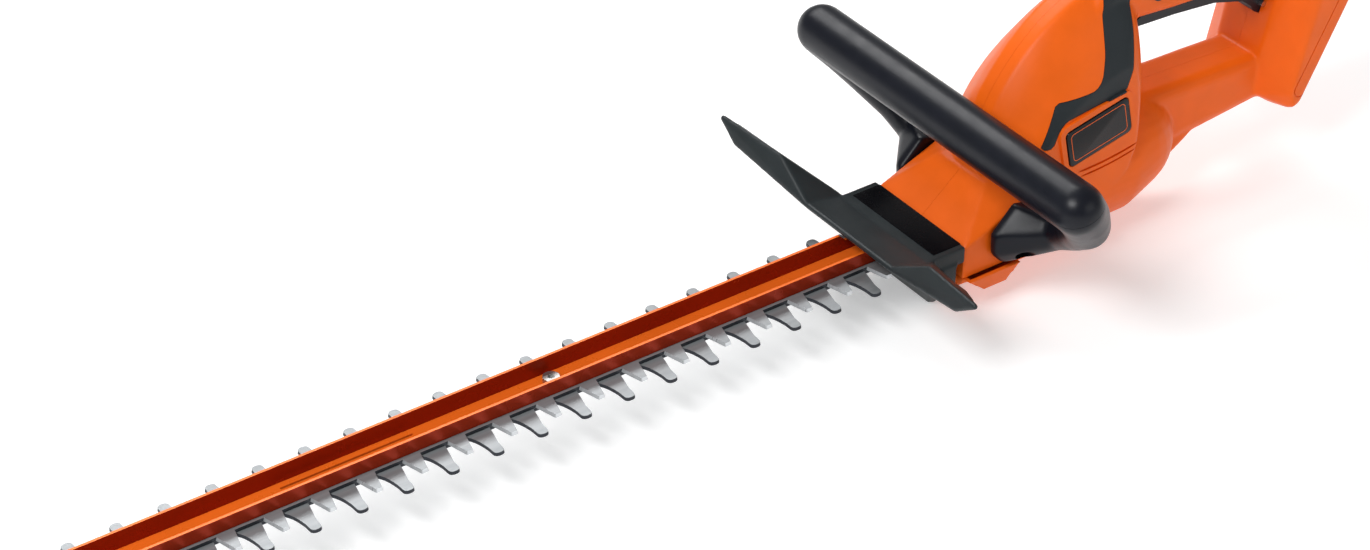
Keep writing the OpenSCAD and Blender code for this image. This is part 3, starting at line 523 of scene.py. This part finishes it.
def groove(path, y_low, y_high, width):
    """A narrow closed strip along a path in X and Z, for cutting a line into the skin."""
    left, right = [], []
    for i, p in enumerate(path):
        a = path[max(0, i - 1)]
        b = path[min(len(path) - 1, i + 1)]
        length = math.hypot(b[0] - a[0], b[1] - a[1])
        nx, nz = -(b[1] - a[1]) / length, (b[0] - a[0]) / length
        w = width * (0.35 if i in (0, len(path) - 1) else 1.0)
        left.append((p[0] + nx * w / 2, p[1] + nz * w / 2))
        right.append((p[0] - nx * w / 2, p[1] - nz * w / 2))
    return prism(left + right[::-1], y_low, y_high)


def arc(a, b, rise, count=9):
    """Points of a shallow arc from a to b."""
    out = []
    for i in range(count):
        t = i / (count - 1)
        nx, nz = -(b[1] - a[1]), (b[0] - a[0])
        length = math.hypot(nx, nz)
        k = rise * 4 * t * (1 - t) / length
        out.append((a[0] + (b[0] - a[0]) * t + nx * k, a[1] + (b[1] - a[1]) * t + nz * k))
    return out


# Two grooves under the badge, one above the other
for name, start, end, width in (("GroovesA", (40, 62.0), (82.5, 65.8), 1.5),
                                ("GroovesB", (42, 58.4), (82, 62.4), 1.3)):
    cut(housing, join(name, [groove(arc(start, end, -1.2), *span(s, 35.0, 40), width) for s in (-1, 1)]))


def loop_strip(outline, inner, y_low, y_high):
    """A closed ring between two outlines of the same number of points."""
    bm = bmesh.new()
    rings = []
    for points in (outline, inner):
        rings.append([bm.verts.new((x * MM, y_low * MM, z * MM)) for x, z in points])
        rings.append([bm.verts.new((x * MM, y_high * MM, z * MM)) for x, z in points])
    count = len(outline)
    for i in range(count):
        j = (i + 1) % count
        for a, b in ((0, 1), (1, 3), (3, 2), (2, 0)):
            bm.faces.new((rings[a][i], rings[b][i], rings[b][j], rings[a][j]))
    bmesh.ops.recalc_face_normals(bm, faces=bm.faces[:])
    return bm


def pill(a, b, radius, turns=10):
    """Outline of a slot with round ends from a to b."""
    angle = math.atan2(b[1] - a[1], b[0] - a[0])
    out = []
    for centre, start in ((b, angle - math.pi / 2), (a, angle + math.pi / 2)):
        for k in range(turns + 1):
            t = start + math.pi * k / turns
            out.append((centre[0] + radius * math.cos(t), centre[1] + radius * math.sin(t)))
    return out


# A thin closed line, shaped as a slot, in each side of the battery block
LOOP_FOOT, LOOP_HEAD = (207, 56), (250, 134)
loop_outer = pill(LOOP_FOOT, LOOP_HEAD, 5.4)
loop_inner = pill(LOOP_FOOT, LOOP_HEAD, 4.7)
cut(housing, join("BlockLoop", [loop_strip(loop_outer, loop_inner, *span(s, 36.4, 40)) for s in (-1, 1)]))

# ---------------------------------------------------------------- inlays

INLAY = [(72, 175), (70, 156), (60, 128), (54, 116), (49, 111.5), (26, 108), (13, 85), (20, 85), (24, 94),
         (29, 99), (71, 104), (78, 125), (86, 149), (88, 175)]
INLAY_EASE = 1.6
INLAY_GAP = 0.35
HALF_GAP = 0.06


def offset_outline(points, amount):
    """A closed outline that runs anticlockwise, grown outwards by amount."""
    out = []
    count = len(points)
    for i, p in enumerate(points):
        a = points[i - 1]
        b = points[(i + 1) % count]
        ux, uz = p[0] - a[0], p[1] - a[1]
        vx, vz = b[0] - p[0], b[1] - p[1]
        lu, lv = math.hypot(ux, uz), math.hypot(vx, vz)
        nx, nz = uz / lu + vz / lv, -(ux / lu + vx / lv)
        length = math.hypot(nx, nz)
        cosine = max(0.4, length / 2)
        out.append((p[0] + nx / length * amount / cosine, p[1] + nz / length * amount / cosine))
    return out


def ease(points, reach):
    """Takes a small bite off each corner of a closed outline."""
    out = []
    for i, p in enumerate(points):
        for q in (points[i - 1], points[(i + 1) % len(points)]):
            length = math.hypot(q[0] - p[0], q[1] - p[1])
            t = min(0.3, reach / length)
            out.append((p[0] + (q[0] - p[0]) * t, p[1] + (q[1] - p[1]) * t))
    return out


band = ease(INLAY, INLAY_EASE)
area = sum(p[0] * q[1] - q[0] * p[1] for p, q in zip(band, band[1:] + band[:1]))
wide_band = offset_outline(band, INLAY_GAP if area > 0 else -INLAY_GAP)

for s, name, node_name in ((-1, "InlayLeft", "inlay_left"), (1, "InlayRight", "inlay_right")):
    low, high = span(s, 12, 60)
    inlay = cut(copy_of(housing, name), join("Band", [prism(band, low, high)]), "INTERSECT")
    cut(housing, join("WideBand", [prism(wide_band, low - 0.2, high + 0.2)]))
    dress(inlay, "root", "charcoal", [node_name], bevel=0.25)

for s, name, node_name in ((-1, "HousingLeft", "housing_left"), (1, "HousingRight", "housing_right")):
    low, high = span(s, HALF_GAP, 60)
    side = join("Side", [box_solid((-80, low, -10), (300, high, 200))])
    half = cut(copy_of(housing, name), side, "INTERSECT")
    dress(half, "root", "orange_shell", [node_name], angle=38)
drop(housing)

for s, name, node_name in ((-1, "BadgeLeft", "badge_left"), (1, "BadgeRight", "badge_right")):
    plate = join(name, [badge_hull(PLATE_SIZE, s * 37.05, s * 38.5, 0.8)])
    dress(plate, "root", "badge_black", [node_name], bevel=0.2)
    line = loop_strip(badge_outline(*LINE_OUTER), badge_outline(*LINE_INNER), *span(s, 38.4, 38.56))
    rim = join(name + "Line", [line])
    dress(rim, "root", "badge_black", material=MATERIALS["orange_cover"])

# ---------------------------------------------------------------- belly cover

BELLY_RIM = 23.85
FOOT_HOLE_RADIUS = 3.8
tray = hull([(x, y, z) for x in (-39, 52) for y in (-15, 15) for z in (0, 1)]
            + [(x, y, 12) for x in (-41, 58) for y in (-28, 28)]
            + [(x, y, z) for x in (-41.4, 63.8) for y in (-38.4, 38.4) for z in (20.8, BELLY_RIM)])
inner = hull([(x, y, 2.5) for x in (-36.6, 49.6) for y in (-12.6, 12.6)]
             + [(x, y, 12) for x in (-38.6, 55.6) for y in (-25.6, 25.6)]
             + [(x, y, z) for x in (-39, 61.4) for y in (-36, 36) for z in (20.8, 30)])
scoops = [hull([(x, s * y, z) for x in (-40, -4) for y in (30, 43) for z in (22.8, BELLY_RIM)]
               + [(x, s * y, 13) for x in (-28, -12) for y in (28, 41)]) for s in (-1, 1)]
scoop_cuts = [hull([(x, s * y, z) for x in (-38.2, -5.8) for y in (30, 41.2) for z in (22.8, 30)]
                   + [(x, s * y, 14.8) for x in (-27, -13) for y in (28, 39.2)]) for s in (-1, 1)]
belly = fuse("BellyCover", [tray] + scoops, 1.0, 3)
cut(belly, join("BellyTop", [box_solid((-70, -60, 23.7), (90, 60, 40))]))
cut(belly, join("BellyInner", [inner]))
cut(belly, join("ScoopInner", scoop_cuts))
for x, y in ((-26, 14), (-26, -14), (50, 14), (50, -14)):
    outline = circle(x, y, FOOT_HOLE_RADIUS, 24)
    cut(belly, join("FootHole", [hull([(px, py, z) for px, py in outline for z in (-1, 6)])]))
dress(belly, "root", "orange_cover", ["belly_cover"], angle=38)

# ---------------------------------------------------------------- guard

# Corners of the guard's sheets; Y is the distance from the centre plane
SHEET_RADIUS = 1.7
WING = [(-91, 38, 50), (-66, 42, 44.3), (-74, 50, 49), (-88, 66, 65), (-96, 98, 61), (-95, 112, 70)]
SKIRT = [(-66, 42, 42), (-52, 38, 26), (-47, 27, 16), (-91, 104, 67), (-63, 66, 39)]
LIP = [(-84, 11, 45), (-91, 38, 50), (-68, 40, 44.3)]
CHIN = [(-60, 36, 26), (-46.3, 36, 26), (-46.3, 20, 1.8), (-49.5, 20, 3)]


def sheet(corners, sides):
    """A hull of small balls at the corners, on the given sides of the centre plane."""
    points = []
    for s in sides:
        for x, y, z in corners:
            points += ball(x, s * y, z, SHEET_RADIUS, 6, 10)
    return hull(points)


lip = sheet(LIP, (-1, 1))
collar = box_solid((-72, -39.9, 36), (-41.8, 39.9, 46))
chin = sheet(CHIN, (-1, 1))
posts = [box_solid((-62.3, s * 38.3 - 3, 23), (-48.3, s * 38.3 + 3, 37.6)) for s in (-1, 1)]
sides = [sheet(corners, (s,)) for s in (-1, 1) for corners in (WING, SKIRT)]
guard = fuse("Guard", [lip, collar, chin] + posts + sides, 0.9, 4)
cut(guard, join("GuardHollow", [box_solid((-69, -37, 30), (-49, 37, 43.2))]))
cut(guard, join("GuardTunnel", [box_solid((-100, -9.2, 20), (-38, 9.2, 43.3))]))
cut(guard, join("GuardPocket", [box_solid((-70, -27, 28.2), (-40, 27, 37.2))]))
LIP_SLOT = [(-92, 46.3), (-86, 48.1), (-92, 48.4), (-86, 49.7)]
cut(guard, join("LipSlot", [hull([(x, y, z) for y in (-30, 30) for x, z in LIP_SLOT])]))
dress(guard, "root", "guard_grey", ["guard"], angle=34)

# A thin near-black sheet on the collar, in front of the nose: painted shadow and painted dark reflection of
# the nose on the guard
strip = join("GuardPaintedShadowStrip", [box_solid((-61, -36, 45.6), (-42.2, 36, 46.4))])
dress(strip, "root", "guard_grey", bevel=0.3, material=NOSE_SHADOW_SHEET)

# ---------------------------------------------------------------- front handle

BAIL_X, BAIL_Z, BAIL_RADIUS, BAIL_REACH = -27.0, 104.5, 14.6, 111.0
BRACKET = [(-24, 35), (-18, 28), (8, 33), (15, 44), (12, 58), (-10, 63), (-25, 48)]
BRACKET_INNER, BRACKET_OUTER = 38.9, 43.7
BRACKET_HOLES = [(-11, 36), (6, 47)]
# Balls along an arm, from the grip down to the bracket: X, distance from the centre plane, Z, radius, rings
ARM = [(BAIL_X, BAIL_REACH, BAIL_Z, BAIL_RADIUS, 16),
       (BAIL_X + 11, BAIL_REACH - 7, BAIL_Z - 13, 14.2, 12),
       (BAIL_X + 21, 96, BAIL_Z - 27, 13.2, 12),
       (BAIL_X + 30, 79, BAIL_Z - 43, 11.4, 12),
       (5, 62, 50, 10.0, 12)]


def tube_points(radius, steps=16):
    """Points of the straight grip with its round ends."""
    out = []
    for i in range(steps + 1):
        y = -BAIL_REACH + 2 * BAIL_REACH * i / steps
        out += [(x, y, z) for x, z in circle(BAIL_X, BAIL_Z, radius, 48)]
    for s in (-1, 1):
        out += ball(BAIL_X, s * BAIL_REACH, BAIL_Z, radius, 20, 40)
    return out


def arm(s):
    """The hulls of an arm, each from one ball to the next, and the last one to the bracket."""
    bracket = [(x, s * y, z) for y in (BRACKET_INNER, BRACKET_OUTER) for x, z in BRACKET]
    balls = [ball(x, s * y, z, radius, rings, 2 * rings) for x, y, z, radius, rings in ARM]
    return [hull(start + end) for start, end in zip(balls, balls[1:] + [bracket])]


bail = fuse("Bail", [hull(tube_points(BAIL_RADIUS - 0.1))] + arm(-1) + arm(1), 1.2, 16)
for s in (-1, 1):
    low, high = span(s, 30.0, BRACKET_INNER - 0.1)
    cut(bail, join("BracketFace", [box_solid((-60, low, 0), (60, high, 90))]))
    low, high = span(s, 42.8, 90.0)
    cut(bail, join("BracketHoles", [rod_y(x, z, low, high, 4.2, 28) for x, z in BRACKET_HOLES]))

PARTING_TILT = math.radians(-20)
PARTING_GAP = 0.12


def split_box(upper):
    """Half of space above or below the handle's parting plane, less a hair."""
    low, high = (PARTING_GAP, 60.0) if upper else (-120.0, -PARTING_GAP)
    out = []
    for u in (-90, 90):
        for y in (-140, 140):
            for w in (low, high):
                out.append((BAIL_X + u * math.cos(PARTING_TILT) + w * math.sin(PARTING_TILT), y,
                            BAIL_Z - u * math.sin(PARTING_TILT) + w * math.cos(PARTING_TILT)))
    return hull(out)


lower = cut(copy_of(bail, "BailFrame"), join("LowerHalf", [split_box(False)]), "INTERSECT")
dress(lower, "root", "handle_black", ["bail_frame"], angle=40)
upper = cut(bail, join("UpperHalf", [split_box(True)]), "INTERSECT")
upper.name = "BailGrip"
dress(upper, "root", "handle_black", ["bail_grip"], angle=40)

# ---------------------------------------------------------------- blades

PITCH, COUNT, FIRST = 27.0, 20, -94.6
SPINE = 10.5
ROOT = SPINE - 3
TIP_X = FIRST - (COUNT - 1) * PITCH - 20
LOW_Z, UP_Z, THICK = 30.0, 32.3, 2.0
WINDOW = (24.4, 17.9)
BLADE_SCREWS = (-286.0, -591.0)
SLOT_REACH, SLOT_RADIUS = 6.8, 4.15
LONG_TIP, SHORT_TIP = 31.4, 23.9
LONG_INSET, SHORT_INSET = 0.25, 0.55


def flat_solid(points, z_low, z_high, inset=0.0):
    """A closed plate from an outline in X and Y; its top can be drawn in to make ground flanks."""
    top = offset_outline(points, -inset) if inset else points
    bm = bmesh.new()
    a = [bm.verts.new((x * MM, y * MM, z_low * MM)) for x, y in points]
    b = [bm.verts.new((x * MM, y * MM, z_high * MM)) for x, y in top]
    bm.faces.new(a[::-1])
    bm.faces.new(b)
    count = len(points)
    for i in range(count):
        bm.faces.new((a[i], a[(i + 1) % count], b[(i + 1) % count], b[i]))
    bmesh.ops.triangulate(bm, faces=bm.faces[:])
    bmesh.ops.recalc_face_normals(bm, faces=bm.faces[:])
    return bm


def curve(a, b, c, count=5):
    """Points on a quadratic curve from a to c, drawn towards b."""
    out = []
    for i in range(count + 1):
        t = i / count
        out.append(tuple((1 - t) ** 2 * a[k] + 2 * t * (1 - t) * b[k] + t * t * c[k] for k in (0, 1)))
    return out


def long_tooth(x, s):
    """A tooth with curved flanks and a rounded tip."""
    tip = LONG_TIP
    right = curve((x + 7.4, ROOT), (x + 5.8, ROOT + 8), (x + 3.7, tip - 8)) + [(x + 3.3, tip - 2.4)]
    end = curve((x + 3.3, tip - 2.4), (x + 3.0, tip), (x, tip))[1:]
    end += curve((x, tip), (x - 3.0, tip), (x - 3.3, tip - 2.4))[1:]
    left = [(x - 3.4, tip - 7)] + curve((x - 3.4, tip - 7), (x - 4.6, ROOT + 7.5), (x - 7.6, ROOT + 4))[1:]
    points = right + end + left + [(x - 7.6, ROOT)]
    return [(px, s * py) for px, py in points][:: 1 if s > 0 else -1]


def short_tooth(x, s):
    """A tooth with straight flanks and cut corners."""
    tip = SHORT_TIP
    half = [(6.4, ROOT), (4.6, ROOT + 7), (2.3, tip - 0.6), (1.8, tip)]
    points = [(x + px, py) for px, py in half] + [(x - px, py) for px, py in half[::-1]]
    return [(px, s * py) for px, py in points][:: 1 if s > 0 else -1]


def blade(name, tooth, start, z, inset):
    """Spine, yoke with the cam's window, screw slots, and a row of teeth on both sides."""
    spine = [(TIP_X + 0.1, -SPINE + 4), (TIP_X + 8, -SPINE), (-24, -SPINE), (-24, SPINE), (TIP_X + 8, SPINE),
             (TIP_X + 0.1, SPINE - 4)]
    wx, wy = WINDOW
    yoke = [(-wx - 5, -wy + 7), (-wx + 3, -wy - 5), (wx - 3, -wy - 5), (wx + 5, -wy + 3), (wx + 5, wy - 3),
            (wx - 3, wy + 5), (-wx + 3, wy + 5), (-wx - 5, wy - 7)]
    plate = join(name, [flat_solid(spine, z, z + THICK)])
    cut(plate, join("Yoke", [flat_solid(yoke, z, z + THICK)]), "UNION")
    window = [(-wx, -wy), (wx, -wy), (wx, wy), (-wx, wy)]
    cut(plate, join("Window", [flat_solid(window, z - 1, z + THICK + 1)]))
    slots = []
    for sx in BLADE_SCREWS:
        outline = pill((sx - SLOT_REACH, 0), (sx + SLOT_REACH, 0), SLOT_RADIUS)
        slots.append(flat_solid(outline, z - 1, z + THICK + 1))
    cut(plate, join("Slots", slots))
    teeth = join(name + "Teeth", [flat_solid(tooth(start - i * PITCH, s), z, z + THICK, inset)
                                  for i in range(COUNT) for s in (-1, 1)])
    cut(plate, teeth, "UNION")
    return plate


lower_blade = blade("LowerBlade", long_tooth, FIRST, LOW_Z, LONG_INSET)
dress(lower_blade, "lower_blade_body", "blade_steel", ["lower_blade"], angle=30)
upper_blade = blade("UpperBlade", short_tooth, FIRST + PITCH / 2, UP_Z, SHORT_INSET)
dress(upper_blade, "upper_blade_body", "blade_steel", ["upper_blade"], angle=25)
# The flanks between the teeth's top and bottom: ground bright on the upper blade, near-black painted shade on
# the lower one; the upright side faces of both blades get the same painted shade
GROUND, SHADED_SIDE = 1, 2
for blade_object in (lower_blade, upper_blade):
    blade_object.data.materials.append(GROUND_EDGE)
    blade_object.data.materials.append(BLADE_SIDE_SHADE)
    for face in blade_object.data.polygons:
        if 0.15 < face.normal.z < 0.98 and abs(face.center.y) > SPINE * MM:
            face.material_index = GROUND if blade_object == upper_blade else SHADED_SIDE
        elif abs(face.normal.z) < 0.5:
            face.material_index = SHADED_SIDE

# ---------------------------------------------------------------- guide bar and trigger spring


def copy_of_node(node_name, name):
    """A piece with the shape and place of a CAD node."""
    mesh = CAD[node_name].data.copy()
    mesh.transform(CAD[node_name].matrix_world)
    return new_object(name, mesh)


# The bar's outer flanks get a darker red copy of the bar's orange: painted shade and painted dark reflection
SHADED_FLANK_FROM = 6.9
guide_bar = copy_of_node("guide_bar", "GuideBar")
dress(guide_bar, "root", "bar_orange", ["guide_bar"], angle=30)
guide_bar.data.materials.append(BAR_FLANK_SHADE)
for face in guide_bar.data.polygons:
    if abs(face.normal.y) > 0.9 and abs(face.center.y) > SHADED_FLANK_FROM * MM:
        face.material_index = 1

# The trigger spring, copied from its CAD node with a mesh of its own. On the tool, its top stays in place and
# a squeezed trigger presses the rest towards it.
spring = copy_of_node("trigger_spring", "TriggerSpring")
dress(spring, "root", "spring_steel", ["trigger_spring"], angle=60)
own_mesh(spring)

# ---------------------------------------------------------------- room, light and camera

FLOOR_HALF, FLOOR_Z = 12, -0.0005
FLOOR_GLOW, WORLD_GLOW = 0.37, 0.34
WHITE = (1.0, 1.0, 1.0, 1.0)
floor_mesh = bpy.data.meshes.new("Floor")
floor_corners = [(x * FLOOR_HALF, y * FLOOR_HALF, FLOOR_Z) for x, y in ((-1, -1), (1, -1), (1, 1), (-1, 1))]
floor_mesh.from_pydata(floor_corners, [], [(0, 1, 2, 3)])
floor = new_object("Floor", floor_mesh)
floor_paint = make_material("FloorPale", (0.8, 0.8, 0.8), 0.85, spread=0.01, patch=3, grain=300, bump=0.03,
                            specular=0.1)
floor_shader = floor_paint.node_tree.nodes["Principled BSDF"]
floor_shader.inputs["Emission Color"].default_value = WHITE
floor_shader.inputs["Emission Strength"].default_value = FLOOR_GLOW
floor_mesh.materials.append(floor_paint)

world = bpy.data.worlds.new("Studio")
bpy.context.scene.world = world
world.use_nodes = True
world.node_tree.nodes["Background"].inputs["Color"].default_value = WHITE
world.node_tree.nodes["Background"].inputs["Strength"].default_value = WORLD_GLOW
bpy.context.scene.view_settings.view_transform = "Standard"


def area_light(name, place, target, size, power):
    data = bpy.data.lights.new(name, "AREA")
    data.shape = "RECTANGLE"
    data.size, data.size_y = size
    data.energy = power
    obj = bpy.data.objects.new(name, data)
    bpy.context.scene.collection.objects.link(obj)
    obj.location = place
    obj.rotation_euler = (Vector(target) - Vector(place)).to_track_quat("-Z", "Y").to_euler()


area_light("KeyLight", (-1.25, -0.25, 1.45), (0.0, 0, 0.06), (0.9, 0.7), 24.0)
area_light("FarLight", (0.15, 1.3, 1.5), (0, 0, 0.05), (1.3, 0.6), 20.0)
area_light("NearFill", (0.5, -1.7, 0.9), (0, 0, 0.06), (1.4, 0.9), 5.0)

# The photograph's own viewpoint, as estimated; lens and sensor width are in millimetres
AZIMUTH, ELEVATION, DISTANCE = math.radians(-35.28), math.radians(34.93), 2.01631
LENS, SENSOR = 97.28566, 36.0
TARGET = Vector((-0.170, 0.04317, 0.032))
back = Vector((math.sin(AZIMUTH) * math.cos(ELEVATION), -math.cos(AZIMUTH) * math.cos(ELEVATION),
               math.sin(ELEVATION)))
camera_data = bpy.data.cameras.new("Camera")
camera_data.sensor_width = SENSOR
camera_data.lens = LENS
camera_data.clip_start = 0.05
camera = bpy.data.objects.new("Camera", camera_data)
bpy.context.scene.collection.objects.link(camera)
camera.location = TARGET + back * DISTANCE
camera.rotation_euler = (-back).to_track_quat("-Z", "Y").to_euler()
bpy.context.scene.camera = camera
